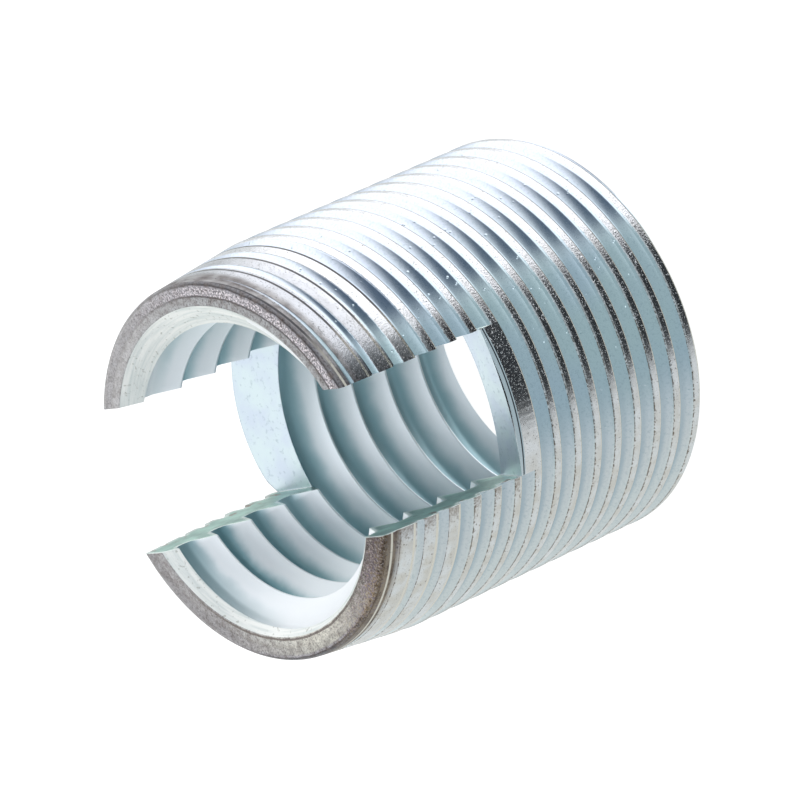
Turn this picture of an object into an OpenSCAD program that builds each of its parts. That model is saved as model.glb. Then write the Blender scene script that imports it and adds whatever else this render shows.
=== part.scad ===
// Self-cutting threaded insert: one turned steel sleeve with a cutting slot
// milled across its front end, which leaves two jaws.
// Frame: axis on +Z, z = 0 is the flat rear end it stands on, the slotted
// front end is up. The slot runs along Y and its two side faces look along X.
// The outside is drawn at the crests of the outer thread and the bore at the
// crests of the inner thread. All sizes are in millimetres.

/* [Body] */
// Outer diameter over the crests of the outer thread
outer_d = 22; // [20:0.1:30]
// Overall length along the axis
body_len = 23.3; // [20:0.1:32]
// Wall thickness over the crests of both threads, which sets the bore
wall = 3.353; // [2.7:0.001:4.2]

/* [Front end] */
// Length of the tapered start of the outer thread
taper_len = 6.1; // [4:0.1:8]
// How much smaller the radius is at the front rim than over the crests
taper_drop = 0.62; // [0.2:0.01:0.9]
// How much the countersink mouth is larger than the bore, on the radius
mouth_flare = 1.45; // [0.8:0.05:1.6]
// Angle of the countersink wall from the axis, in degrees
mouth_angle = 49; // [25:1:55]
// Rounding of the outer edge of the front rim
rim_round = 0.3; // [0.1:0.05:0.5]
// Rounding of the inner edge of the front rim
lip_round = 0.15; // [0.05:0.05:0.3]

/* [Rear end] */
// Chamfer of the outer rear edge
rear_chamfer = 0.3; // [0.1:0.05:0.6]
// How much the rear countersink is larger than the bore, on the radius
rear_flare = 1.45; // [0.6:0.05:1.8]
// Depth of the rear countersink
rear_flare_depth = 0.9; // [0.4:0.1:1.5]

/* [Cutting slot] */
// Width of the slot between its two side faces
slot_w = 8; // [5:0.1:10]
// Depth of the slot at the lowest point of its curved floor
slot_depth = 11.3; // [6:0.05:13]
// Diameter of the disc cutter that leaves the curved floor
cutter_d = 76; // [50:1:120]
// Distance of the cutter centre from the sleeve axis, along the slot
cutter_shift = 1.2; // [0:0.1:2]

/* [Hidden] */
outer_r = outer_d / 2;
bore_r = outer_r - wall;
front_r = outer_r - taper_drop;
mouth_r = bore_r + mouth_flare;
rear_mouth_r = bore_r + rear_flare;
cutter_r = cutter_d / 2;
taper_z = body_len - taper_len;
taper_angle = atan(taper_drop / taper_len);
mouth_z = body_len - mouth_flare / tan(mouth_angle);
slot_floor_z = body_len - slot_depth;
steel = [0.72, 0.77, 0.80];
cutter_facets = 720;
$fn = 120;

// Which node to draw

// Points of an arc of radius r about [x, y], from angle a0 to a1.
function arc(x, y, r, a0, a1, steps = 4) =
    [for (i = [0 : steps]) let (a = a0 + (a1 - a0) * i / steps)
        [x + r * cos(a), y + r * sin(a)]];

// Distance from a corner to where its rounding of radius r starts, for two
// faces that meet with the angle a inside the metal.
function setback(r, a) = r / tan(a / 2);

// Half section of the sleeve wall: x is the radius, y the height.
module wall_section() {
    rim_x = front_r - setback(rim_round, 90 + taper_angle);
    lip_x = mouth_r + setback(lip_round, 90 + mouth_angle);
    polygon(concat(
        [[rear_mouth_r, 0],
         [outer_r - rear_chamfer, 0],
         [outer_r, rear_chamfer],
         [outer_r, taper_z]],
        arc(rim_x, body_len - rim_round, rim_round, taper_angle, 90),
        arc(lip_x, body_len - lip_round, lip_round, 90, 180 - mouth_angle),
        [[bore_r, mouth_z],
         [bore_r, rear_flare_depth]]));
}

// The path of the disc cutter: its edge leaves the curved slot floor and its
// two flat sides leave the side faces of the slot.
module slot_cut() {
    translate([0, cutter_shift, slot_floor_z + cutter_r])
        rotate([0, 90, 0])
            cylinder(r = cutter_r, h = slot_w, center = true, $fn = cutter_facets);
}

// Turned sleeve with the cutting slot milled across its front.
module insert_sleeve() {
    color(steel)
        difference() {
            rotate_extrude() wall_section();
            slot_cut();
        }
}

insert_sleeve();
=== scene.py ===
"""Looks of a self-cutting threaded insert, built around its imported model.

Everything is in metres, in the model's own frame: the sleeve's axis is +Z,
the flat rear end stands at z = 0 and the cutting slot runs along Y.
"""
import math

import bmesh
import bpy
from mathutils import Matrix, Vector


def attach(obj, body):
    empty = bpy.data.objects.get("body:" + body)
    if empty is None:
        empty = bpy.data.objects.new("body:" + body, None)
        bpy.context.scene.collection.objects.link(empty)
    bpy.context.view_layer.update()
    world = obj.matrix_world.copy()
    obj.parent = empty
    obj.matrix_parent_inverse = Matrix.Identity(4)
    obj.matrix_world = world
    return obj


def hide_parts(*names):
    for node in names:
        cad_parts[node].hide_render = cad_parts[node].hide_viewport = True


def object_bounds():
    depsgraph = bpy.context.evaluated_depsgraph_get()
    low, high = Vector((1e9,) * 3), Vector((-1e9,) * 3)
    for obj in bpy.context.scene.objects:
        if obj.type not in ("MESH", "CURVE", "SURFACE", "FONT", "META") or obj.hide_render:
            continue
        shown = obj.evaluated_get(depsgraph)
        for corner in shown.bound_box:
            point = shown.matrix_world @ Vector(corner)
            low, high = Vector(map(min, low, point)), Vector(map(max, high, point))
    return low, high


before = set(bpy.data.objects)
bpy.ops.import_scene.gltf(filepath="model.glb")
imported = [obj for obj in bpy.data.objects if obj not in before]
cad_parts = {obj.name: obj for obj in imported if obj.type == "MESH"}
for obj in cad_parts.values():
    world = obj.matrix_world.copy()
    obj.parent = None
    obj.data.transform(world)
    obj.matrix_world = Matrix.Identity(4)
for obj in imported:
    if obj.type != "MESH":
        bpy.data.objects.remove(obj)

cad_low, cad_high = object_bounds()
MM = 0.001

# ---------------------------------------------------------------- the sleeve
# The blank: free-cutting steel turned to the crests of both threads, with a
# tapered start, a countersunk mouth and a small chamfer round the rear end.
# Angles are in degrees, and the mouth's is measured from the axis.
crest_r = cad_high.x
body_len = cad_high.z
merge_gap = 0.0005 * MM
bore_r = 7.647 * MM
taper_len = 6.1 * MM
taper_drop = 0.62 * MM
front_r = crest_r - taper_drop
mouth_flare = 1.45 * MM
mouth_angle = 49
mouth_r = bore_r + mouth_flare
cone_slope = math.tan(math.radians(mouth_angle))
mouth_depth = mouth_flare / cone_slope
rim_round = 0.30 * MM
lip_round = 0.15 * MM
lip_r = mouth_r + lip_round * math.tan(math.radians(45 - mouth_angle / 2))
rear_chamfer = 0.30 * MM
rear_flare = 1.45 * MM
rear_flare_depth = 0.90 * MM


def arc(x, z, radius, start, end, steps):
    """Points of an arc about (x, z), as (radius from the axis, height) pairs."""
    turns = [math.radians(start + (end - start) * i / steps) for i in range(steps + 1)]
    return [(x + radius * math.cos(t), z + radius * math.sin(t)) for t in turns]


def loop_of(mesh, outline):
    """Adds a closed outline of (radius, height) pairs in the XZ plane."""
    ring = [mesh.verts.new((r, 0, z)) for r, z in outline]
    return ring + [mesh.edges.new((a, b)) for a, b in zip(ring, ring[1:] + ring[:1])]


def turned(outline, steps):
    """A closed ring: the outline taken once round the axis."""
    mesh = bmesh.new()
    bmesh.ops.spin(mesh, geom=loop_of(mesh, outline), cent=(0, 0, 0), axis=(0, 0, 1),
                   angle=math.tau, steps=steps, use_merge=True)
    bmesh.ops.remove_doubles(mesh, verts=mesh.verts, dist=merge_gap)
    bmesh.ops.recalc_face_normals(mesh, faces=mesh.faces)
    return mesh


def as_object(mesh, name):
    """Turns a bmesh into an object in the scene."""
    data = bpy.data.meshes.new(name)
    mesh.to_mesh(data)
    mesh.free()
    made = bpy.data.objects.new(name, data)
    bpy.context.scene.collection.objects.link(made)
    return made


blank_outline = (
    [(bore_r + rear_flare, 0), (crest_r - rear_chamfer, 0), (crest_r, rear_chamfer),
     (crest_r, body_len - taper_len)]
    + arc(front_r - rim_round, body_len - rim_round, rim_round, 6, 90, 4)
    + arc(lip_r, body_len - lip_round, lip_round, 90, 180 - mouth_angle, 3)
    + [(bore_r, body_len - mouth_depth), (bore_r, rear_flare_depth)])
sleeve = as_object(turned(blank_outline, 360), "insert_sleeve_skin")

# Both threads: the outer one has a fine pitch and cuts its own hole, the inner
# one takes the screw. Each groove is one cutter swept along its helix. The
# crests are turned off square at the back and roll over softly at the front.
outer_pitch = 1.5 * MM
outer_depth = 0.50 * MM
outer_crest = 0.46 * MM
outer_rear_z = 12.32 * MM
outer_rear_angle = -77.4
outer_turns_back = 10
inner_pitch = 2.5 * MM
inner_depth = 1.25 * MM
inner_crest = 0.05 * MM
inner_rear_z = -0.25 * MM
inner_turns_back = 2


def groove_outline(wall_r, side, width, depth, shoulder, lean, rear_lean, edge_round):
    """Section of a groove as (radius, height), from one crest down to the next.

    Side is 1 for a groove outside and -1 for one inside. Lean is the angle from
    the axis at which the soft shoulder ends and the straight flank begins, and
    rear_lean is how far the flank behind a crest leans from square."""
    proud = 0.30 * MM
    root_round = 0.05 * MM
    soft_steps = 5
    rear = [(-proud, edge_round), (0, edge_round)]
    for bend in (25, 50):
        drop = edge_round * (1 - math.cos(math.radians(bend)))
        rear.append((drop, edge_round * (1 - math.sin(math.radians(bend)))))
    soft = []
    for step in range(soft_steps + 1):
        bend = math.radians(lean * (1 - step / soft_steps))
        soft.append((shoulder * (1 - math.cos(bend)), -width + shoulder * math.sin(bend)))
    root = depth - root_round
    foot = rear[-1][1] - (root - rear[-1][0]) * math.tan(math.radians(rear_lean))
    toe = soft[0][1] + (root - soft[0][0]) / math.tan(math.radians(lean))
    floor = [(root, foot), (depth, foot + (toe - foot) * 0.35),
             (depth, foot + (toe - foot) * 0.65), (root, toe)]
    return [(wall_r - side * d, h) for d, h in rear + floor + soft + [(-proud, -width)]]


def groove_cutter(outline, top_z, top_turn, pitch, turns, steps):
    """A cutter for one helical groove whose outline starts at top_z, top_turn.

    One turn is swept along the helix and then repeated up the axis."""
    mesh = bmesh.new()
    first = loop_of(mesh, [(r, top_z + h) for r, h in outline])
    bmesh.ops.rotate(mesh, verts=mesh.verts, cent=(0, 0, 0),
                     matrix=Matrix.Rotation(top_turn, 3, "Z"))
    bmesh.ops.spin(mesh, geom=first, cent=(0, 0, 0), axis=(0, 0, 1),
                   dvec=(0, 0, pitch / steps), angle=math.tau, steps=steps)
    one_turn = mesh.verts[:] + mesh.edges[:] + mesh.faces[:]
    for k in range(1, turns):
        copy = bmesh.ops.duplicate(mesh, geom=one_turn)["geom"]
        bmesh.ops.translate(mesh, vec=(0, 0, k * pitch),
                            verts=[v for v in copy if isinstance(v, bmesh.types.BMVert)])
    bmesh.ops.remove_doubles(mesh, verts=mesh.verts, dist=merge_gap)
    bmesh.ops.edgeloop_fill(mesh, edges=[e for e in mesh.edges if e.is_boundary])
    bmesh.ops.recalc_face_normals(mesh, faces=mesh.faces)
    return mesh


outer_groove = groove_outline(crest_r, 1, outer_pitch - outer_crest, outer_depth,
                              shoulder=0.37 * MM, lean=45, rear_lean=30, edge_round=0.15 * MM)
mesh = groove_cutter(outer_groove, outer_rear_z - outer_turns_back * outer_pitch,
                     math.radians(outer_rear_angle), outer_pitch, turns=19, steps=180)
# The groove runs a little deeper along the taper.
taper_follow = 0.03
for vert in mesh.verts:
    radius = vert.co.xy.length
    past = max(0.0, vert.co.z - (body_len - taper_len))
    vert.co.xy *= (radius - taper_follow * past) / radius
outer_cutter = as_object(mesh, "outer")

inner_groove = groove_outline(bore_r, -1, inner_pitch - inner_crest, inner_depth,
                              shoulder=0.10 * MM, lean=56, rear_lean=28, edge_round=0.03 * MM)
mesh = groove_cutter(inner_groove, inner_rear_z - inner_turns_back * inner_pitch, 0,
                     inner_pitch, turns=12, steps=144)
inner_cutter = as_object(mesh, "inner")

# A land is left at full height behind the near end of the slot, as wide as the
# slot: there the groove is not cut.
land_low, land_high = 12.45 * MM, 14.10 * MM
land_width = 8 * MM
land_reach = 4 * MM
mesh = bmesh.new()
bmesh.ops.create_cube(mesh, size=1)
bmesh.ops.scale(mesh, verts=mesh.verts, vec=(land_width, land_reach, land_high - land_low))
bmesh.ops.translate(mesh, verts=mesh.verts, vec=(0, -crest_r, (land_low + land_high) / 2))
land_keeper = as_object(mesh, "land")

# The cutting slot: milled with a disc across the front end, so its floor is
# curved and its edges are sharp.
slot_width = land_width
slot_floor = body_len - 11.3 * MM
cutter_r = 38 * MM
cutter_shift = 1.2 * MM
mesh = bmesh.new()
bmesh.ops.create_cone(mesh, cap_ends=True, segments=720, radius1=cutter_r, radius2=cutter_r,
                      depth=slot_width)
bmesh.ops.rotate(mesh, verts=mesh.verts, cent=(0, 0, 0),
                 matrix=Matrix.Rotation(math.radians(90), 3, "Y"))
bmesh.ops.translate(mesh, verts=mesh.verts, vec=(0, cutter_shift, slot_floor + cutter_r))
slot_cutter = as_object(mesh, "slot")


def cut(body, tool):
    """Takes the tool's volume out of the body."""
    step = body.modifiers.new("cut", "BOOLEAN")
    step.operation = "DIFFERENCE"
    step.solver = "MANIFOLD"
    step.object = tool
    graph = bpy.context.evaluated_depsgraph_get()
    data = bpy.data.meshes.new_from_object(body.evaluated_get(graph))
    body.modifiers.clear()
    old = body.data
    body.data = data
    bpy.data.meshes.remove(old)
    bpy.data.objects.remove(tool)


cut(outer_cutter, land_keeper)
for tool in (outer_cutter, inner_cutter, slot_cutter):
    cut(sleeve, tool)
sleeve.data.name = "insert_sleeve_skin"
sleeve.data.shade_smooth()
sharp_edge = math.radians(28)
sleeve.data.set_sharp_from_angle(angle=sharp_edge)

# The finish: every face is electroplated with zinc and passivated clear blue,
# so it mirrors softly and leans to blue-green. Faces are sorted by the tool
# that made them, because each tool leaves its own grain under the plating.


def add(tree, kind, links, **settings):
    """Adds a node: settings are its properties, links are {input: value or socket}.
    A socket is linked to the input and a value is set on it."""
    made = tree.nodes.new(kind)
    for key, value in settings.items():
        setattr(made, key, value)
    for name, value in links.items():
        if isinstance(value, bpy.types.NodeSocket):
            tree.links.new(value, made.inputs[name])
        else:
            made.inputs[name].default_value = value
    return made


def linear(code):
    """An sRGB hex colour as linear red, green, blue and alpha."""
    parts = [int(code[i:i + 2], 16) / 255 for i in (1, 3, 5)]
    flat = [c / 12.92 if c <= 0.04045 else ((c + 0.055) / 1.055) ** 2.4 for c in parts]
    return tuple(flat) + (1,)


def plated(name, roughness):
    """A new metal: the material, its tree, its shader's inputs, and on its surface
    the place in millimetres, the three parts of that and the radius."""
    made = bpy.data.materials.new(name)
    made.use_nodes = True
    tree = made.node_tree
    inputs = tree.nodes["Principled BSDF"].inputs
    inputs["Metallic"].default_value = 1.0
    inputs["Roughness"].default_value = roughness
    place = add(tree, "ShaderNodeTexCoord", {}).outputs["Object"]
    place = add(tree, "ShaderNodeVectorMath", {0: place, "Scale": 1 / MM},
                operation="SCALE").outputs[0]
    parts = add(tree, "ShaderNodeSeparateXYZ", {"Vector": place}).outputs
    flat = add(tree, "ShaderNodeVectorMath", {0: place, 1: (1, 1, 0)},
               operation="MULTIPLY").outputs[0]
    radius = add(tree, "ShaderNodeVectorMath", {0: flat}, operation="LENGTH").outputs["Value"]
    return made, tree, inputs, place, parts, radius


# Outer thread: the turned crests stay rough and take less zinc, so they are
# grey to tan, speckled with bare dark steel and with a burr along their rear
# edge, painted pale as a highlight and dark as shade. The grooves are smooth,
# pale blue-grey, with a few pits and nodules.
outside, tree, surface, place, parts, radius = plated("blue_zinc_on_outer_thread", 0.2)
taper_from = (body_len - taper_len) / MM
taper_to = (body_len - 0.9 * rim_round) / MM
full = add(tree, "ShaderNodeMapRange", {"Value": parts[2], "From Min": taper_from,
                                        "From Max": taper_to, "To Min": crest_r / MM,
                                        "To Max": front_r / MM}).outputs["Result"]
depth = add(tree, "ShaderNodeMath", {0: full, 1: radius}, operation="SUBTRACT").outputs[0]
turn = add(tree, "ShaderNodeMath", {0: parts[1], 1: parts[0]}, operation="ARCTAN2").outputs[0]
turn = add(tree, "ShaderNodeMath", {0: turn, 1: 1 / math.tau}, operation="MULTIPLY").outputs[0]
climb = add(tree, "ShaderNodeMath", {0: parts[2], 1: MM / outer_pitch},
            operation="MULTIPLY").outputs[0]
phase = add(tree, "ShaderNodeMath", {0: climb, 1: turn}, operation="SUBTRACT").outputs[0]
burr_lead = 0.05
start = outer_rear_z / outer_pitch - outer_rear_angle / 360 + burr_lead
phase = add(tree, "ShaderNodeMath", {0: phase, 1: start}, operation="SUBTRACT").outputs[0]

# The patterns, by how many of their grains go to a millimetre. The plating's
# own grain is finer than 0.02 mm, so sand is drawn coarser, to show.
grit_per_mm = 7.0
mottle_per_mm = 1.1
drift_per_mm = 0.22
nodules_per_mm = 2.3
sand_per_mm = 14.0
grit = add(tree, "ShaderNodeTexNoise",
           {"Vector": place, "Scale": grit_per_mm, "Detail": 3.0, "Roughness": 0.7}).outputs["Fac"]
mottle = add(tree, "ShaderNodeTexNoise",
             {"Vector": place, "Scale": mottle_per_mm, "Detail": 2.0}).outputs["Fac"]
drift = add(tree, "ShaderNodeTexNoise",
            {"Vector": place, "Scale": drift_per_mm, "Detail": 1.0}).outputs["Fac"]
cells = add(tree, "ShaderNodeTexVoronoi", {"Vector": place, "Scale": nodules_per_mm}).outputs
sand = add(tree, "ShaderNodeTexNoise",
           {"Vector": place, "Scale": sand_per_mm, "Detail": 1.0}).outputs["Fac"]
grains = add(tree, "ShaderNodeMapRange", {"Value": sand, "From Min": 0.63, "From Max": 0.75},
             interpolation_type="SMOOTHSTEP").outputs["Result"]

# The crest mask has a ragged edge; the burr, painted as highlight and shade, sits where the phase
# wraps round.
ragged_by = 0.012
ragged = add(tree, "ShaderNodeMapRange", {"Value": grit, "From Min": 0.3, "From Max": 0.7,
                                          "To Min": -ragged_by, "To Max": ragged_by}).outputs[0]
depth = add(tree, "ShaderNodeMath", {0: depth, 1: ragged}, operation="ADD").outputs[0]
on_crest = add(tree, "ShaderNodeMapRange", {"Value": depth, "From Min": 0.035, "From Max": 0.008},
               interpolation_type="SMOOTHSTEP").outputs["Result"]
rear_off = add(tree, "ShaderNodeMath", {0: phase, 1: 0.5}, operation="PINGPONG").outputs[0]
burr_and_edge_light = add(tree, "ShaderNodeMapRange", {"Value": rear_off, "From Min": 0.055, "From Max": 0.035},
           interpolation_type="SMOOTHSTEP").outputs["Result"]

# Grooves: blue-grey, a little greener here and there, paler on the worn side at
# -X and greyer on the side at +X. On the worn side their roots are darker:
# partly thin zinc, partly painted shade.
worn_from, worn_to = -1.0, -6.0
grey_from, grey_to = 5.0, 9.0
groove_tint = add(tree, "ShaderNodeMapRange",
                  {"Value": drift, "From Min": 0.38, "From Max": 0.62}).outputs[0]
groove_colour = add(tree, "ShaderNodeMix",
                    {0: groove_tint, 6: linear("#C0D3DE"), 7: linear("#C4D8DC")},
                    data_type="RGBA").outputs[2]
worn_side = add(tree, "ShaderNodeMapRange",
                {"Value": parts[0], "From Min": worn_from, "From Max": worn_to}).outputs[0]
groove_colour = add(tree, "ShaderNodeMix", {0: worn_side, 6: groove_colour, 7: linear("#D6DEDE")},
                    data_type="RGBA").outputs[2]
grey_side = add(tree, "ShaderNodeMapRange", {"Value": parts[0], "From Min": grey_from,
                                             "From Max": grey_to, "To Max": 0.8}).outputs[0]
groove_colour = add(tree, "ShaderNodeMix", {0: grey_side, 6: groove_colour, 7: linear("#CED4E0")},
                    data_type="RGBA").outputs[2]
dusty = add(tree, "ShaderNodeMapRange",
            {"Value": grit, "From Min": 0.50, "From Max": 0.68, "To Max": 0.3}).outputs[0]
groove_colour = add(tree, "ShaderNodeMix", {0: dusty, 6: groove_colour, 7: linear("#93A9B2")},
                    data_type="RGBA").outputs[2]
# Darker towards the roots on the worn side: partly thin zinc, partly painted shade.
root_zinc_and_shade = add(tree, "ShaderNodeMapRange", {"Value": depth, "From Min": 0.18, "From Max": 0.42},
           interpolation_type="SMOOTHSTEP").outputs["Result"]
root_zinc_and_shade = add(tree, "ShaderNodeMath", {0: root_zinc_and_shade, 1: worn_side}, operation="MULTIPLY").outputs[0]
groove_colour = add(tree, "ShaderNodeMix", {0: root_zinc_and_shade, 6: groove_colour, 7: linear("#B0C0C8")},
                    data_type="RGBA").outputs[2]

# Crests: pale on the body, dull grey along the turned taper and scorched at the
# rim, with temper colours where they ran hottest, near the tip at -X.
dull_from, dull_to = 18.6, 21.2
scorch_from, scorch_to = 21.95, 22.45
hot_from, hot_to = 1.0, -6.0
crest_tint = add(tree, "ShaderNodeMapRange",
                 {"Value": mottle, "From Min": 0.38, "From Max": 0.62}).outputs[0]
crest_colour = add(tree, "ShaderNodeMix",
                   {0: crest_tint, 6: linear("#E4E6E9"), 7: linear("#D8D9DA")},
                   data_type="RGBA").outputs[2]
worn_colour = add(tree, "ShaderNodeMix",
                  {0: crest_tint, 6: linear("#E1E4E4"), 7: linear("#D6D4CD")},
                  data_type="RGBA").outputs[2]
crest_colour = add(tree, "ShaderNodeMix", {0: worn_side, 6: crest_colour, 7: worn_colour},
                   data_type="RGBA").outputs[2]
dull = add(tree, "ShaderNodeMapRange",
           {"Value": parts[2], "From Min": dull_from, "From Max": dull_to, "To Max": 0.55},
           interpolation_type="SMOOTHSTEP").outputs["Result"]
unworn = add(tree, "ShaderNodeMath", {0: worn_side, 1: -1.0, 2: 1.0},
             operation="MULTIPLY_ADD").outputs[0]
dull = add(tree, "ShaderNodeMath", {0: dull, 1: unworn}, operation="MULTIPLY").outputs[0]
crest_colour = add(tree, "ShaderNodeMix", {0: dull, 6: crest_colour, 7: linear("#999DA4")},
                   data_type="RGBA").outputs[2]
scorch = add(tree, "ShaderNodeMapRange",
             {"Value": parts[2], "From Min": scorch_from, "From Max": scorch_to},
             interpolation_type="SMOOTHSTEP").outputs["Result"]
burnt = add(tree, "ShaderNodeMix", {0: crest_tint, 6: linear("#A09F9F"), 7: linear("#787473")},
            data_type="RGBA").outputs[2]
hot = add(tree, "ShaderNodeMapRange",
          {"Value": parts[1], "From Min": hot_from, "From Max": hot_to}).outputs[0]
hot = add(tree, "ShaderNodeMath", {0: hot, 1: worn_side}, operation="MULTIPLY").outputs[0]
flecks = add(tree, "ShaderNodeMix", {0: 0.45, 2: mottle, 3: grit}).outputs[0]
temper = add(tree, "ShaderNodeValToRGB", {"Fac": flecks})
for spot, code in ((0.30, "#463A32"), (0.45, "#6E6258"), (0.54, "#998D7C"), (0.62, "#766E76"),
                   (0.74, "#54473E")):
    stop = temper.color_ramp.elements[0] if spot == 0.30 else temper.color_ramp.elements.new(spot)
    stop.position = spot
    stop.color = linear(code)
temper.color_ramp.elements[-1].color = linear("#54473E")
burnt = add(tree, "ShaderNodeMix", {0: hot, 6: burnt, 7: temper.outputs["Color"]},
            data_type="RGBA").outputs[2]
crest_colour = add(tree, "ShaderNodeMix", {0: scorch, 6: crest_colour, 7: burnt},
                   data_type="RGBA").outputs[2]

# Along the slot the crests on the jaw at +X are painted near black, a painted
# dark reflection, and those on the jaw at -X are rusted brown. Bare specks lie
# all over, and dirt along the crests' edges.
slot_wall_x, slot_end_z = 3.9, 13.9
slot_dark_from, slot_dark_to = 7.0, 5.4
rust_from, rust_to = -3.5, -2.7
clean_from, clean_to = 1.0, 4.0
# Painted dark reflection: the crests darken towards the slot on the jaw at +X, in front of its end.
painted_dark_by_slot = add(tree, "ShaderNodeMath", {0: grit, 1: 3.0, 2: parts[0]},
             operation="MULTIPLY_ADD").outputs[0]
painted_dark_by_slot = add(tree, "ShaderNodeMapRange", {"Value": painted_dark_by_slot, "From Min": slot_dark_from,
                                          "From Max": slot_dark_to, "To Max": 0.8}).outputs[0]
plus_jaw = add(tree, "ShaderNodeMath", {0: parts[0], 1: slot_wall_x},
               operation="GREATER_THAN").outputs[0]
front_half = add(tree, "ShaderNodeMath", {0: parts[2], 1: slot_end_z},
                 operation="GREATER_THAN").outputs[0]
painted_dark_by_slot = add(tree, "ShaderNodeMath", {0: painted_dark_by_slot, 1: front_half}, operation="MULTIPLY").outputs[0]
painted_dark_by_slot = add(tree, "ShaderNodeMath", {0: painted_dark_by_slot, 1: plus_jaw}, operation="MULTIPLY").outputs[0]
crest_colour = add(tree, "ShaderNodeMix", {0: painted_dark_by_slot, 6: crest_colour, 7: linear("#4C484A")},
                   data_type="RGBA").outputs[2]
rust = add(tree, "ShaderNodeMath", {0: grit, 1: 2.6, 2: parts[0]},
           operation="MULTIPLY_ADD").outputs[0]
rust = add(tree, "ShaderNodeMapRange",
           {"Value": rust, "From Min": rust_from, "From Max": rust_to, "To Max": 0.85}).outputs[0]
rust = add(tree, "ShaderNodeMath", {0: rust, 1: front_half}, operation="MULTIPLY").outputs[0]
rust = add(tree, "ShaderNodeMath", {0: rust, 1: worn_side}, operation="MULTIPLY").outputs[0]
crest_colour = add(tree, "ShaderNodeMix", {0: rust, 6: crest_colour, 7: linear("#6A5543")},
                   data_type="RGBA").outputs[2]
bare = add(tree, "ShaderNodeMapRange",
           {"Value": grit, "From Min": 0.63, "From Max": 0.70, "To Max": 0.9}).outputs[0]
crest_colour = add(tree, "ShaderNodeMix", {0: bare, 6: crest_colour, 7: linear("#4E4238")},
                   data_type="RGBA").outputs[2]
edge = add(tree, "ShaderNodeMath", {0: on_crest, 1: 0.5}, operation="SUBTRACT").outputs[0]
edge = add(tree, "ShaderNodeMath", {0: edge}, operation="ABSOLUTE").outputs[0]
edge = add(tree, "ShaderNodeMapRange",
           {"Value": edge, "From Min": 0.5, "From Max": 0.42}).outputs[0]
soiled = add(tree, "ShaderNodeMapRange",
             {"Value": grit, "From Min": 0.42, "From Max": 0.52, "To Max": 0.85}).outputs[0]
soiled = add(tree, "ShaderNodeMath", {0: edge, 1: soiled}, operation="MULTIPLY").outputs[0]
dirty_side = add(tree, "ShaderNodeMapRange",
                 {"Value": parts[0], "From Min": clean_to, "From Max": clean_from}).outputs[0]
soiled = add(tree, "ShaderNodeMath", {0: soiled, 1: dirty_side}, operation="MULTIPLY").outputs[0]

# Beside the rim the whole surface is scorched, groove and all, and it reaches
# furthest down the hottest tip. The burr is painted pale, a painted highlight,
# but dark on the side at +X, painted shade.
rim_from, rim_to = 22.58, 22.66
burr_shade_from, burr_shade_to = 4.0, 7.0
reach = add(tree, "ShaderNodeMath", {0: hot, 1: 0.75, 2: parts[2]},
            operation="MULTIPLY_ADD").outputs[0]
at_rim = add(tree, "ShaderNodeMapRange",
             {"Value": reach, "From Min": rim_from, "From Max": rim_to}).outputs[0]
on_crest = add(tree, "ShaderNodeMath", {0: on_crest, 1: at_rim}, operation="MAXIMUM").outputs[0]
burr_shaded_side = add(tree, "ShaderNodeMapRange", {"Value": parts[0], "From Min": burr_shade_from,
                                             "From Max": burr_shade_to}).outputs[0]
# Burr colour: pale is a painted highlight, dark at +X is painted shade.
burr_highlight_and_shade = add(tree, "ShaderNodeMix", {0: burr_shaded_side, 6: linear("#E2DED2"), 7: linear("#4C4C4E")},
                  data_type="RGBA").outputs[2]
colour = add(tree, "ShaderNodeMix", {0: on_crest, 6: groove_colour, 7: crest_colour},
             data_type="RGBA").outputs[2]
colour = add(tree, "ShaderNodeMix", {0: soiled, 6: colour, 7: linear("#665442")},
             data_type="RGBA").outputs[2]
colour = add(tree, "ShaderNodeMix", {0: burr_and_edge_light, 6: colour, 7: burr_highlight_and_shade},
             data_type="RGBA").outputs[2]

# The lip on the land, rolled over by the milling disc, with fine tool lines.
lip_half_width, lip_y = 3.98, -9.0
lip_z, lip_half_height = 13.80, 0.32
line_gap = 0.2
across = add(tree, "ShaderNodeMath", {0: parts[0], 1: 0.0, 2: lip_half_width},
             operation="COMPARE").outputs[0]
near = add(tree, "ShaderNodeMath", {0: parts[1], 1: lip_y}, operation="LESS_THAN").outputs[0]
beside_slot = add(tree, "ShaderNodeMath", {0: across, 1: near}, operation="MULTIPLY").outputs[0]
on_lip = add(tree, "ShaderNodeMath", {0: parts[2], 1: lip_z, 2: lip_half_height},
             operation="COMPARE").outputs[0]
on_lip = add(tree, "ShaderNodeMath", {0: on_lip, 1: beside_slot}, operation="MULTIPLY").outputs[0]
colour = add(tree, "ShaderNodeMix", {0: on_lip, 6: colour, 7: linear("#D3DDE2")},
             data_type="RGBA").outputs[2]
line = add(tree, "ShaderNodeMath", {0: parts[2], 1: line_gap}, operation="PINGPONG").outputs[0]
line = add(tree, "ShaderNodeMapRange",
           {"Value": line, "From Min": 0.06, "From Max": 0.03}).outputs[0]
line = add(tree, "ShaderNodeMath", {0: line, 1: on_lip}, operation="MULTIPLY").outputs[0]
colour = add(tree, "ShaderNodeMix", {0: line, 6: colour, 7: linear("#3E4448")},
             data_type="RGBA").outputs[2]
tree.links.new(colour, surface["Base Color"])

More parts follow.
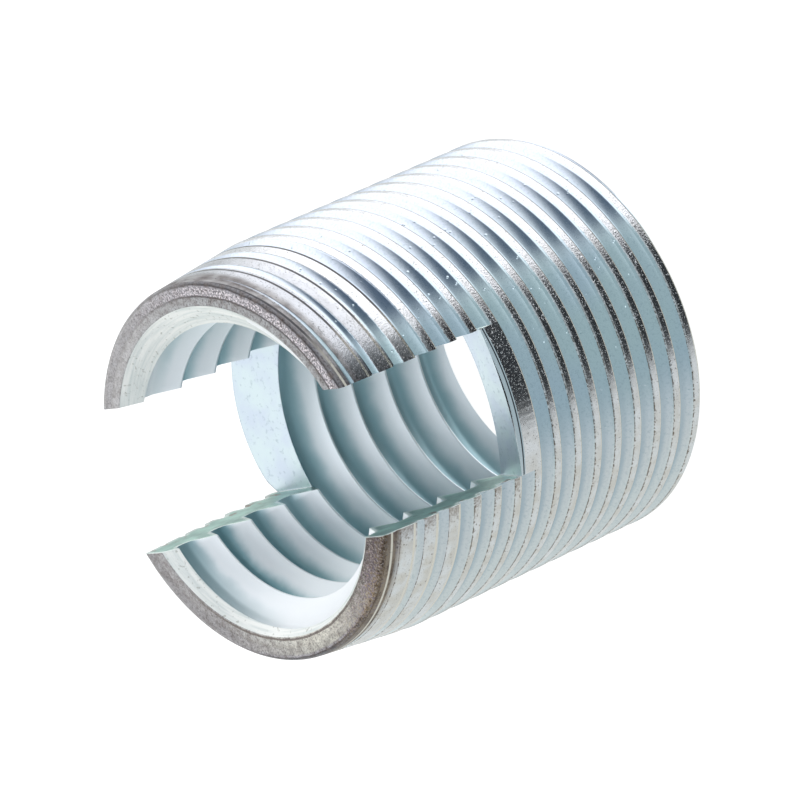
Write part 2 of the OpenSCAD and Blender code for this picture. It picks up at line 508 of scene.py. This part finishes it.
# Relief: grit and sand, strong on the crests and faint in the grooves, a nodule
# in about half of the cells, and the fall of the lip.
fall_from, fall_to = 13.48, 13.90
relief = 0.006 * MM
rough = add(tree, "ShaderNodeMapRange",
            {"Value": on_crest, "To Min": 0.15, "To Max": 0.19}).outputs[0]
rough = add(tree, "ShaderNodeMath", {0: scorch, 1: 0.2, 2: rough},
            operation="MULTIPLY_ADD").outputs[0]
tree.links.new(rough, surface["Roughness"])
nodule = add(tree, "ShaderNodeMapRange",
             {"Value": cells["Distance"], "From Min": 0.20, "From Max": 0.03},
             interpolation_type="SMOOTHSTEP").outputs["Result"]
chosen = add(tree, "ShaderNodeSeparateXYZ", {"Vector": cells["Color"]}).outputs[0]
chosen = add(tree, "ShaderNodeMapRange",
             {"Value": chosen, "From Min": 0.55, "From Max": 0.6}).outputs[0]
nodule = add(tree, "ShaderNodeMath", {0: nodule, 1: chosen}, operation="MULTIPLY").outputs[0]
height = add(tree, "ShaderNodeMath", {0: grains, 1: 1.1, 2: grit},
             operation="MULTIPLY_ADD").outputs[0]
coarse = add(tree, "ShaderNodeMath", {0: scorch, 1: 5.0, 2: 1.0},
             operation="MULTIPLY_ADD").outputs[0]
coarse = add(tree, "ShaderNodeMath", {0: painted_dark_by_slot, 1: 3.0, 2: coarse},
             operation="MULTIPLY_ADD").outputs[0]
sparkle_from, sparkle_to = 2.5, 6.0
sparkle = add(tree, "ShaderNodeMapRange", {"Value": parts[0], "From Min": sparkle_from,
                                           "From Max": sparkle_to,
                                           "To Max": 2.5}).outputs[0]
coarse = add(tree, "ShaderNodeMath", {0: sparkle, 1: coarse}, operation="ADD").outputs[0]
coarse = add(tree, "ShaderNodeMapRange",
             {"Value": on_crest, "To Min": 0.06, "To Max": coarse}).outputs[0]
height = add(tree, "ShaderNodeMath", {0: height, 1: coarse}, operation="MULTIPLY").outputs[0]
height = add(tree, "ShaderNodeMath", {0: nodule, 1: 2.4, 2: height},
             operation="MULTIPLY_ADD").outputs[0]
fall = add(tree, "ShaderNodeMapRange",
           {"Value": parts[2], "From Min": fall_from, "From Max": fall_to}).outputs[0]
fall = add(tree, "ShaderNodeMath", {0: fall, 1: beside_slot}, operation="MULTIPLY").outputs[0]
height = add(tree, "ShaderNodeMath", {0: fall, 1: -42.0, 2: height},
             operation="MULTIPLY_ADD").outputs[0]
bump = add(tree, "ShaderNodeBump", {"Height": height, "Distance": relief}).outputs[0]
tree.links.new(bump, surface["Normal"])

# Front rim: cropped and scorched, with hardly any zinc left. From the mouth
# outwards it has a fine buff band, a dark step and a coarse violet-grey ridge.
rim, tree, surface, place, parts, radius = plated("scorched_steel_rim", 0.28)
grit_per_mm, mottle_per_mm = 8.5, 1.2
blotches_per_mm, heat_per_mm = 2.4, 4.5
bands_from, bands_to = 9.05, 10.55
buff_edge, buff_full = 10.18, 10.05
seam_r, seam_half_width = 9.24, 0.06
ridge_r, ridge_half_width = 9.93, 0.22
relief = 0.22 * MM
grit = add(tree, "ShaderNodeTexNoise",
           {"Vector": place, "Scale": grit_per_mm, "Detail": 4.0, "Roughness": 0.75}).outputs["Fac"]
mottle = add(tree, "ShaderNodeTexNoise",
             {"Vector": place, "Scale": mottle_per_mm, "Detail": 2.0}).outputs["Fac"]
waver = add(tree, "ShaderNodeMath", {0: mottle, 1: 0.14, 2: radius},
            operation="MULTIPLY_ADD").outputs[0]
band = add(tree, "ShaderNodeMapRange",
           {"Value": waver, "From Min": bands_from, "From Max": bands_to}).outputs[0]
bands = add(tree, "ShaderNodeValToRGB", {"Fac": band})
for spot, code in ((0.0, "#D6D6D0"), (0.06, "#B9BABC"), (0.34, "#B2B2B4"), (0.40, "#4E4A4C"),
                   (0.48, "#C4C0C6"), (0.76, "#BCB9BF"), (0.81, "#444244"), (0.88, "#8A8A8E")):
    stop = bands.color_ramp.elements[0] if spot == 0.0 else bands.color_ramp.elements.new(spot)
    stop.position = spot
    stop.color = linear(code)
bands.color_ramp.elements[-1].color = linear("#8A8A8E")
toward_minus_y_and_glints = add(tree, "ShaderNodeMapRange",
            {"Value": parts[1], "From Min": 6.0, "From Max": -1.0}).outputs[0]
plus_jaw = add(tree, "ShaderNodeMath", {0: parts[0], 1: 0.0}, operation="GREATER_THAN").outputs[0]
banded = add(tree, "ShaderNodeMath", {0: toward_minus_y_and_glints, 1: 0.75, 2: 0.25},
             operation="MULTIPLY_ADD").outputs[0]
colour = add(tree, "ShaderNodeMix", {0: plus_jaw, 6: linear("#B6B3B3"), 7: linear("#CAC8C8")},
             data_type="RGBA").outputs[2]
colour = add(tree, "ShaderNodeMix", {0: banded, 6: colour, 7: bands.outputs["Color"]},
             data_type="RGBA").outputs[2]
buff = add(tree, "ShaderNodeMapRange",
           {"Value": waver, "From Min": buff_edge, "From Max": buff_full}).outputs[0]
minus_jaw = add(tree, "ShaderNodeMapRange",
                {"Value": parts[0], "From Min": -5.0, "From Max": -8.0}).outputs[0]
worked = add(tree, "ShaderNodeMapRange",
             {"Value": parts[1], "From Min": 5.0, "From Max": -2.0}).outputs[0]
buff = add(tree, "ShaderNodeMath", {0: buff, 1: minus_jaw}, operation="MULTIPLY").outputs[0]
buff = add(tree, "ShaderNodeMath", {0: buff, 1: worked}, operation="MULTIPLY").outputs[0]
colour = add(tree, "ShaderNodeMix", {0: buff, 6: colour, 7: linear("#E2DFD4")},
             data_type="RGBA").outputs[2]
seam = add(tree, "ShaderNodeMath", {0: waver, 1: seam_r, 2: seam_half_width},
           operation="COMPARE").outputs[0]
seam = add(tree, "ShaderNodeMath", {0: seam, 1: minus_jaw}, operation="MULTIPLY").outputs[0]
colour = add(tree, "ShaderNodeMix", {0: seam, 6: colour, 7: linear("#87807A")},
             data_type="RGBA").outputs[2]
blotch = add(tree, "ShaderNodeTexNoise", {"Vector": place, "Scale": blotches_per_mm, "Detail": 5.0,
                                          "Roughness": 0.7}).outputs["Fac"]
stain = add(tree, "ShaderNodeMath", {0: toward_minus_y_and_glints, 1: 0.3, 2: 0.55},
            operation="MULTIPLY_ADD").outputs[0]
stain = add(tree, "ShaderNodeMath", {0: buff, 1: -0.32, 2: stain},
            operation="MULTIPLY_ADD").outputs[0]
stain = add(tree, "ShaderNodeMath", {0: plus_jaw, 1: -0.15, 2: stain},
            operation="MULTIPLY_ADD").outputs[0]
blotch = add(tree, "ShaderNodeMapRange",
             {"Value": blotch, "From Min": 0.42, "From Max": 0.64, "To Max": stain}).outputs[0]
colour = add(tree, "ShaderNodeMix", {0: blotch, 6: colour, 7: linear("#756B66")},
             data_type="RGBA").outputs[2]
specks = add(tree, "ShaderNodeMapRange",
             {"Value": grit, "From Min": 0.49, "From Max": 0.62, "To Max": stain}).outputs[0]
colour = add(tree, "ShaderNodeMix", {0: specks, 6: colour, 7: linear("#3A3435")},
             data_type="RGBA").outputs[2]
# Painted glints: near-white flecks on the ridge, on the jaw at +X towards -Y.
painted_ridge_glints = add(tree, "ShaderNodeMapRange",
             {"Value": grit, "From Min": 0.51, "From Max": 0.43}).outputs[0]
ridge = add(tree, "ShaderNodeMath", {0: waver, 1: ridge_r, 2: ridge_half_width},
            operation="COMPARE").outputs[0]
toward_minus_y_and_glints = add(tree, "ShaderNodeMath", {0: toward_minus_y_and_glints, 1: ridge}, operation="MULTIPLY").outputs[0]
toward_minus_y_and_glints = add(tree, "ShaderNodeMath", {0: toward_minus_y_and_glints, 1: plus_jaw}, operation="MULTIPLY").outputs[0]
painted_ridge_glints = add(tree, "ShaderNodeMath", {0: painted_ridge_glints, 1: toward_minus_y_and_glints}, operation="MULTIPLY").outputs[0]
colour = add(tree, "ShaderNodeMix", {0: painted_ridge_glints, 6: colour, 7: linear("#FFF6FA")},
             data_type="RGBA").outputs[2]

# The tip at -X and -Y ran hottest: brown, with straw and violet in it, which
# follow the radius; heat_shift sets where they begin. Its very end is charred,
# and pale painted glints are strewn over the hot tip.
heat_shift = 2.16
hot_side = add(tree, "ShaderNodeMapRange",
               {"Value": parts[0], "From Min": -1.0, "From Max": -3.5}).outputs[0]
hot = add(tree, "ShaderNodeMapRange",
          {"Value": parts[1], "From Min": -3.0, "From Max": -7.5}).outputs[0]
hot = add(tree, "ShaderNodeMath", {0: hot, 1: hot_side}, operation="MULTIPLY").outputs[0]
heat = add(tree, "ShaderNodeTexNoise",
           {"Vector": place, "Scale": heat_per_mm, "Detail": 6.0, "Roughness": 0.7}).outputs["Fac"]
heat = add(tree, "ShaderNodeMath", {0: radius, 1: 0.22, 2: heat},
           operation="MULTIPLY_ADD").outputs[0]
heat = add(tree, "ShaderNodeMath", {0: heat, 1: heat_shift}, operation="SUBTRACT").outputs[0]
temper = add(tree, "ShaderNodeValToRGB", {"Fac": heat})
for spot, code in ((0.32, "#352C28"), (0.42, "#6C5D54"), (0.50, "#7C7086"), (0.57, "#B09A76"),
                   (0.66, "#55463C")):
    stop = temper.color_ramp.elements[0] if spot == 0.32 else temper.color_ramp.elements.new(spot)
    stop.position = spot
    stop.color = linear(code)
temper.color_ramp.elements[-1].color = linear("#55463C")
hot = add(tree, "ShaderNodeMath", {0: hot, 1: 0.8}, operation="MULTIPLY").outputs[0]
colour = add(tree, "ShaderNodeMix", {0: hot, 6: colour, 7: temper.outputs["Color"]},
             data_type="RGBA").outputs[2]
# Painted glints: pale flecks over the hot tip.
painted_tip_glints = add(tree, "ShaderNodeMapRange",
                  {"Value": grit, "From Min": 0.47, "From Max": 0.40, "To Max": 0.6}).outputs[0]
painted_tip_glints = add(tree, "ShaderNodeMath", {0: painted_tip_glints, 1: hot}, operation="MULTIPLY").outputs[0]
charred = add(tree, "ShaderNodeMapRange",
              {"Value": parts[1], "From Min": -7.0, "From Max": -9.3, "To Max": 0.7}).outputs[0]
charred = add(tree, "ShaderNodeMath", {0: charred, 1: hot_side}, operation="MULTIPLY").outputs[0]
colour = add(tree, "ShaderNodeMix", {0: charred, 6: colour, 7: linear("#453A35")},
             data_type="RGBA").outputs[2]
colour = add(tree, "ShaderNodeMix", {0: painted_tip_glints, 6: colour, 7: linear("#D8CFC8")},
             data_type="RGBA").outputs[2]
tree.links.new(colour, surface["Base Color"])
height = add(tree, "ShaderNodeMapRange", {"Value": ridge, "To Min": 0.4, "To Max": 1.0}).outputs[0]
height = add(tree, "ShaderNodeMath", {0: grit, 1: height}, operation="MULTIPLY").outputs[0]
bump = add(tree, "ShaderNodeBump", {"Height": height, "Distance": relief}).outputs[0]
tree.links.new(bump, surface["Normal"])

# Countersink: turned, then plated thickly; cream, with faint tool rings, which
# are drawn coarser than the tool leaves them, so that they show.
mouth, tree, surface, place, *_ = plated("cream_zinc_in_countersink", 0.48)
ring_stretch = (0.25, 0.25, 6)
rings_per_mm, grit_per_mm = 1.3, 5.0
relief = 0.02 * MM
surface["Metallic"].default_value = 0.45
rings = add(tree, "ShaderNodeVectorMath", {0: place, 1: ring_stretch},
            operation="MULTIPLY").outputs[0]
mottle = add(tree, "ShaderNodeTexNoise",
             {"Vector": rings, "Scale": rings_per_mm, "Detail": 4.0}).outputs["Fac"]
mottle = add(tree, "ShaderNodeMapRange",
             {"Value": mottle, "From Min": 0.40, "From Max": 0.66}).outputs[0]
colour = add(tree, "ShaderNodeMix", {0: mottle, 6: linear("#F3F4F0"), 7: linear("#D8DEDB")},
             data_type="RGBA").outputs[2]
grit = add(tree, "ShaderNodeTexNoise",
           {"Vector": place, "Scale": grit_per_mm, "Detail": 3.0}).outputs["Fac"]
specks = add(tree, "ShaderNodeMapRange",
             {"Value": grit, "From Min": 0.62, "From Max": 0.70, "To Max": 0.5}).outputs[0]
colour = add(tree, "ShaderNodeMix", {0: specks, 6: colour, 7: linear("#98988C")},
             data_type="RGBA").outputs[2]
tree.links.new(colour, surface["Base Color"])
bump = add(tree, "ShaderNodeBump", {"Height": grit, "Distance": relief}).outputs[0]
tree.links.new(bump, surface["Normal"])

# Bore: tapped, with a smooth burnished thread under a thick blue plating. Its
# roots are blue-green and its crests nearly white, the roots darkened partly by
# thin zinc and partly as painted shade. On the jaw at -X the roots are painted
# darker still, as shade, while that jaw's crests and the first groove behind the
# mouth are painted white and less metallic, a painted highlight.
bore, tree, surface, place, parts, radius = plated("blue_zinc_in_bore", 0.47)
mottle_per_mm = 0.6
root_from, root_to = 8.45, 9.15
jaw_from, jaw_to = 14.0, 18.0
painted_light_from, painted_light_to = 20.5, 21.3
mottle = add(tree, "ShaderNodeTexNoise",
             {"Vector": place, "Scale": mottle_per_mm, "Detail": 3.0}).outputs["Fac"]
root = add(tree, "ShaderNodeMath", {0: mottle, 1: 0.5, 2: radius},
           operation="MULTIPLY_ADD").outputs[0]
root = add(tree, "ShaderNodeMapRange", {"Value": root, "From Min": root_from, "From Max": root_to},
           interpolation_type="SMOOTHSTEP").outputs["Result"]
# Darker in the roots: partly thin zinc, partly painted shade.
colour = add(tree, "ShaderNodeMix", {0: root, 6: linear("#EDF3F6"), 7: linear("#AFCCD2")},
             data_type="RGBA").outputs[2]
minus_jaw = add(tree, "ShaderNodeMath", {0: parts[0], 1: 0.0}, operation="LESS_THAN").outputs[0]
jaw = add(tree, "ShaderNodeMapRange",
          {"Value": parts[2], "From Min": jaw_from, "From Max": jaw_to}).outputs[0]
jaw = add(tree, "ShaderNodeMath", {0: jaw, 1: minus_jaw}, operation="MULTIPLY").outputs[0]
# Painted shade: the roots on the jaw at -X darken towards +Y.
shade = add(tree, "ShaderNodeMapRange",
            {"Value": parts[1], "From Min": -2.0, "From Max": 5.0, "To Max": 0.75}).outputs[0]
shade = add(tree, "ShaderNodeMath", {0: shade, 1: jaw}, operation="MULTIPLY").outputs[0]
shade = add(tree, "ShaderNodeMath", {0: shade, 1: root}, operation="MULTIPLY").outputs[0]
colour = add(tree, "ShaderNodeMix", {0: shade, 6: colour, 7: linear("#6C939B")},
             data_type="RGBA").outputs[2]
# Painted highlight: the crests on the jaw at -X and the first groove behind the mouth are painted
# white, the groove less so at that jaw's far end.
painted_crest_light = add(tree, "ShaderNodeMath", {0: root, 1: -0.6, 2: 0.6}, operation="MULTIPLY_ADD").outputs[0]
painted_crest_light = add(tree, "ShaderNodeMath", {0: painted_crest_light, 1: jaw}, operation="MULTIPLY").outputs[0]
painted_light = add(tree, "ShaderNodeMapRange",
            {"Value": parts[2], "From Min": painted_light_from, "From Max": painted_light_to},
            interpolation_type="SMOOTHSTEP").outputs["Result"]
far_end = add(tree, "ShaderNodeMapRange",
              {"Value": parts[1], "From Min": 1.5, "From Max": 8.0}).outputs[0]
far_end = add(tree, "ShaderNodeMath", {0: far_end, 1: minus_jaw}, operation="MULTIPLY").outputs[0]
far_end = add(tree, "ShaderNodeMath", {0: far_end, 1: -0.9, 2: 1.0},
              operation="MULTIPLY_ADD").outputs[0]
painted_light = add(tree, "ShaderNodeMath", {0: painted_light, 1: far_end}, operation="MULTIPLY").outputs[0]
painted_light = add(tree, "ShaderNodeMath", {0: painted_light, 1: painted_crest_light}, operation="MAXIMUM").outputs[0]
colour = add(tree, "ShaderNodeMix", {0: painted_light, 6: colour, 7: linear("#FCFEFF")},
             data_type="RGBA").outputs[2]
tree.links.new(colour, surface["Base Color"])
# Where the highlight is painted, the plating is made less metallic so that it shows white.
metal = add(tree, "ShaderNodeMapRange", {"Value": painted_light, "To Min": 1.0, "To Max": 0.2}).outputs[0]
tree.links.new(metal, surface["Metallic"])

# Slot sides and floor: milled. The sides are sea-green; their edges are rolled
# and painted with a pale highlight all round, and so are the inner ends of the
# crests; the floor is paler, with tiny specks.
slot_side, tree, surface, place, _, radius = plated("green_zinc_on_slot_sides", 0.3)
mottle_per_mm, grit_per_mm, brown_per_mm = 0.9, 4.0, 1.6
edge_roll, relief = 0.50 * MM, 0.02 * MM
knob_edge, knob_full = 8.2, 7.8
brown_from, brown_to = 9.6, 10.2
mottle = add(tree, "ShaderNodeTexNoise",
             {"Vector": place, "Scale": mottle_per_mm, "Detail": 4.0}).outputs["Fac"]
mottle = add(tree, "ShaderNodeMapRange",
             {"Value": mottle, "From Min": 0.35, "From Max": 0.65}).outputs[0]
colour = add(tree, "ShaderNodeMix", {0: mottle, 6: linear("#A2CABD"), 7: linear("#71998F")},
             data_type="RGBA").outputs[2]
grit = add(tree, "ShaderNodeTexNoise",
           {"Vector": place, "Scale": grit_per_mm, "Detail": 4.0}).outputs["Fac"]
rolled = add(tree, "ShaderNodeBevel", {"Radius": edge_roll}, samples=4).outputs[0]
flat = add(tree, "ShaderNodeNewGeometry", {}).outputs["True Normal"]
square = add(tree, "ShaderNodeVectorMath", {0: rolled, 1: flat},
             operation="DOT_PRODUCT").outputs["Value"]
# Painted highlight: a pale band where the rolled edge turns away from the face.
painted_edge_highlight = add(tree, "ShaderNodeMapRange",
                  {"Value": square, "From Min": 0.994, "From Max": 0.95, "To Max": 0.9}).outputs[0]
colour = add(tree, "ShaderNodeMix", {0: painted_edge_highlight, 6: colour, 7: linear("#F4F7F3")},
             data_type="RGBA").outputs[2]
# Painted highlight: the inner ends of the crests are painted pale.
painted_knob_highlight = add(tree, "ShaderNodeMapRange", {"Value": radius, "From Min": knob_edge,
                                        "From Max": knob_full,
                                        "To Max": 0.7}).outputs[0]
colour = add(tree, "ShaderNodeMix", {0: painted_knob_highlight, 6: colour, 7: linear("#E6F2EE")},
             data_type="RGBA").outputs[2]
brown = add(tree, "ShaderNodeTexNoise",
            {"Vector": place, "Scale": brown_per_mm, "Detail": 3.0}).outputs["Fac"]
brown = add(tree, "ShaderNodeMapRange",
            {"Value": brown, "From Min": 0.56, "From Max": 0.66}).outputs[0]
outer_edge = add(tree, "ShaderNodeMapRange",
                 {"Value": radius, "From Min": brown_from, "From Max": brown_to}).outputs[0]
brown = add(tree, "ShaderNodeMath", {0: brown, 1: outer_edge}, operation="MULTIPLY").outputs[0]
colour = add(tree, "ShaderNodeMix", {0: brown, 6: colour, 7: linear("#7A6652")},
             data_type="RGBA").outputs[2]
tree.links.new(colour, surface["Base Color"])
bump = add(tree, "ShaderNodeBump",
           {"Height": grit, "Distance": relief, "Normal": rolled}).outputs[0]
tree.links.new(bump, surface["Normal"])

slot_base, tree, surface, place, *_ = plated("pale_zinc_on_slot_floor", 0.3)
mottle_per_mm, grit_per_mm = 0.8, 4.0
edge_roll, relief = 0.07 * MM, 0.008 * MM
mottle = add(tree, "ShaderNodeTexNoise",
             {"Vector": place, "Scale": mottle_per_mm, "Detail": 4.0}).outputs["Fac"]
mottle = add(tree, "ShaderNodeMapRange",
             {"Value": mottle, "From Min": 0.35, "From Max": 0.65}).outputs[0]
colour = add(tree, "ShaderNodeMix", {0: mottle, 6: linear("#C4CFDB"), 7: linear("#CAD8DC")},
             data_type="RGBA").outputs[2]
rolled = add(tree, "ShaderNodeBevel", {"Radius": edge_roll}, samples=4).outputs[0]
grit = add(tree, "ShaderNodeTexNoise",
           {"Vector": place, "Scale": grit_per_mm, "Detail": 4.0}).outputs["Fac"]
specks = add(tree, "ShaderNodeMapRange",
             {"Value": grit, "From Min": 0.58, "From Max": 0.70, "To Max": 0.35}).outputs[0]
colour = add(tree, "ShaderNodeMix", {0: specks, 6: colour, 7: linear("#8496A2")},
             data_type="RGBA").outputs[2]
tree.links.new(colour, surface["Base Color"])
bump = add(tree, "ShaderNodeBump",
           {"Height": grit, "Distance": relief, "Normal": rolled}).outputs[0]
tree.links.new(bump, surface["Normal"])

# Each face goes to its finish by where it lies: inside or outside the middle of
# the wall, on the rim, on the cone of the mouth, or on what the disc cut.
wall_middle = 9.6 * MM
rim_height, rim_slack = 0.26 * MM, 0.04 * MM
cone_slack = 0.02 * MM
side_slack, base_slack = 0.002 * MM, 0.004 * MM
finishes = [outside, rim, mouth, bore, slot_side, slot_base]
sleeve.data.materials.clear()
for finish in finishes:
    sleeve.data.materials.append(finish)
cutter_middle = Vector((cutter_shift, slot_floor + cutter_r))
for face in sleeve.data.polygons:
    spot = face.center
    radius = spot.xy.length
    cone_r = bore_r + (spot.z - body_len + mouth_depth) * cone_slope
    from_disc = abs((Vector(spot.yz) - cutter_middle).length - cutter_r)
    on_rim = face.normal.z > 0.3 and radius > mouth_r - rim_slack
    on_cone = face.normal.z > 0.2 and abs(radius - cone_r) < cone_slack
    kind = outside if radius > wall_middle else bore
    if spot.z > body_len - rim_height and on_rim:
        kind = rim
    elif spot.z > body_len - mouth_depth and on_cone:
        kind = mouth
    if abs(abs(spot.x) - slot_width / 2) < side_slack and abs(face.normal.x) > 0.99:
        kind = slot_side
    elif abs(spot.x) < slot_width / 2 and from_disc < base_slack:
        kind = slot_base
    face.material_index = finishes.index(kind)
for face in sleeve.data.polygons:
    if finishes[face.material_index] in (slot_side, slot_base):
        face.use_smooth = False

# The tap leaves the root of the inner thread soft, without a hard corner.
root_r = 8.2 * MM
root_bend = math.radians(75)
mesh = bmesh.new()
mesh.from_mesh(sleeve.data)
for edge in mesh.edges:
    tapped = all(finishes[face.material_index] == bore for face in edge.link_faces)
    if tapped and edge.verts[0].co.xy.length > root_r and edge.calc_face_angle(0) < root_bend:
        edge.smooth = True
mesh.to_mesh(sleeve.data)
mesh.free()
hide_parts("insert_sleeve")
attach(sleeve, "root")

# ---------------------------------------------------------------- the camera
# Looks down the slotted end from a long way off, turned on its side so that
# the sleeve seems to lie across the picture.
elevation, azimuth, roll = math.radians(39.8), math.radians(12.6), math.radians(-114.28)
distance = 581.03 * MM
focal_mm, sensor_mm = 498.48, 36
back = Vector((math.sin(azimuth) * math.cos(elevation), -math.cos(azimuth) * math.cos(elevation),
               math.sin(elevation)))
level_right = (-back).cross(Vector((0, 0, 1))).normalized()
level_up = level_right.cross(-back)
cam_right = math.cos(roll) * level_right + math.sin(roll) * level_up
cam_up = -math.sin(roll) * level_right + math.cos(roll) * level_up
aim_height = 11.423 * MM
shift_right, shift_up = 0.0923, 0.0013
aim = Vector((0, 0, aim_height)) - cam_right * shift_right * MM - cam_up * shift_up * MM
camera = bpy.data.objects.new("camera", bpy.data.cameras.new("camera"))
bpy.context.scene.collection.objects.link(camera)
camera.data.lens = focal_mm
camera.data.sensor_width = sensor_mm
camera.data.clip_start = 0.01
camera.data.clip_end = 10
turned_camera = Matrix((cam_right, cam_up, back)).transposed()
camera.matrix_world = Matrix.Translation(aim + back * distance) @ turned_camera.to_4x4()
bpy.context.scene.camera = camera

# ----------------------------------------------------------------- the floor
# A plain white sweep of card. It glows softly, as card lit from all round
# does, and it is kept out of the metal's reflections, which the light gives.
card_reach = 1.5
card_grey, card_glow = 0.2, 0.95
mesh = bmesh.new()
bmesh.ops.create_grid(mesh, x_segments=1, y_segments=1, size=card_reach)
floor = as_object(mesh, "floor")
card = bpy.data.materials.new("white_card")
card.use_nodes = True
card_shader = card.node_tree.nodes["Principled BSDF"].inputs
card_shader["Base Color"].default_value = (card_grey, card_grey, card_grey, 1)
card_shader["Emission Color"].default_value = (1, 1, 1, 1)
card_shader["Emission Strength"].default_value = card_glow
floor.data.materials.append(card)
floor.visible_glossy = False
floor.visible_diffuse = False
floor.visible_shadow = False

# ----------------------------------------------------------------- the light
# One big soft box on the sleeve's +X side with a dim space above it, a bright
# panel overhead, white card behind, grey card in front and on the left, and a
# dark gap low down in front. Directions are turns from the camera towards +X.
world = bpy.data.worlds.new("studio")
world.use_nodes = True
bpy.context.scene.world = world
sky = world.node_tree
sky.nodes.clear()
degree = math.pi / 180


def patch(around, rise, turn_from, turn_full, turn_keep, turn_to, low, low_full, high_full, high):
    """A soft-edged window on the sky, between two turns and two heights, in degrees."""
    mask = None
    for value, edge, full in ((around, turn_from, turn_full), (around, turn_to, turn_keep),
                              (rise, low, low_full), (rise, high, high_full)):
        step = add(sky, "ShaderNodeMapRange",
                   {"Value": value, "From Min": edge * degree, "From Max": full * degree},
                   interpolation_type="SMOOTHSTEP").outputs["Result"]
        if mask:
            step = add(sky, "ShaderNodeMath", {0: mask, 1: step}, operation="MULTIPLY").outputs[0]
        mask = step
    return mask


ray = add(sky, "ShaderNodeTexCoord", {}).outputs["Generated"]
toward = (math.sin(azimuth), -math.cos(azimuth), 0)
beside = (math.cos(azimuth), math.sin(azimuth), 0)
ahead = add(sky, "ShaderNodeVectorMath", {0: ray, 1: toward},
            operation="DOT_PRODUCT").outputs["Value"]
aside = add(sky, "ShaderNodeVectorMath", {0: ray, 1: beside},
            operation="DOT_PRODUCT").outputs["Value"]
height = add(sky, "ShaderNodeSeparateXYZ", {"Vector": ray}).outputs["Z"]
around = add(sky, "ShaderNodeMath", {0: aside, 1: ahead}, operation="ARCTAN2").outputs[0]
rise = add(sky, "ShaderNodeMath", {0: height}, operation="ARCSINE").outputs[0]

# The bright panel overhead is round, and leans towards the soft box.
lean_turn, lean_rise = 45 * degree, 72 * degree
panel_edge, panel_full = 36 * degree, 12 * degree
lean = Vector(toward) * math.cos(lean_turn) + Vector(beside) * math.sin(lean_turn)
lean = lean * math.cos(lean_rise) + Vector((0, 0, math.sin(lean_rise)))
near_lean = add(sky, "ShaderNodeVectorMath", {0: ray, 1: lean},
                operation="DOT_PRODUCT").outputs["Value"]
overhead = add(sky, "ShaderNodeMapRange", {"Value": near_lean, "From Min": math.cos(panel_edge),
                                           "From Max": math.cos(panel_full)},
               interpolation_type="SMOOTHSTEP").outputs["Result"]
behind_turn = add(sky, "ShaderNodeMath", {0: around}, operation="ABSOLUTE").outputs[0]
front = patch(around, rise, -70, -42, 26, 40, -34, -22, 56, 66)
left = patch(around, rise, -150, -125, -50, -30, 12, 30, 56, 66)
behind = patch(behind_turn, rise, 125, 150, 190, 200, -12, 5, 80, 90)
above = patch(around, rise, 30, 50, 86, 112, 20, 34, 48, 60)
soft_box = patch(around, rise, 26, 44, 122, 140, -62, -48, 20, 34)
gap = patch(around, rise, -46, -30, 28, 46, -70, -58, -32, -20)

glow = (0.78, 0.81, 0.82, 1)
for mask, colour in ((left, (0.72, 0.74, 0.77, 1)), (front, (0.50, 0.57, 0.60, 1)),
                     (behind, (1.32, 1.34, 1.35, 1)),
                     (overhead, (1.50, 1.52, 1.58, 1)), (above, (0.11, 0.15, 0.21, 1)),
                     (soft_box, (1.70, 1.70, 1.75, 1)), (gap, (0.022, 0.026, 0.03, 1))):
    glow = add(sky, "ShaderNodeMix", {0: mask, 6: glow, 7: colour}, data_type="RGBA").outputs[2]
light = add(sky, "ShaderNodeBackground", {"Color": glow})
add(sky, "ShaderNodeOutputWorld", {"Surface": light.outputs[0]})
bpy.context.scene.view_settings.view_transform = "Standard"
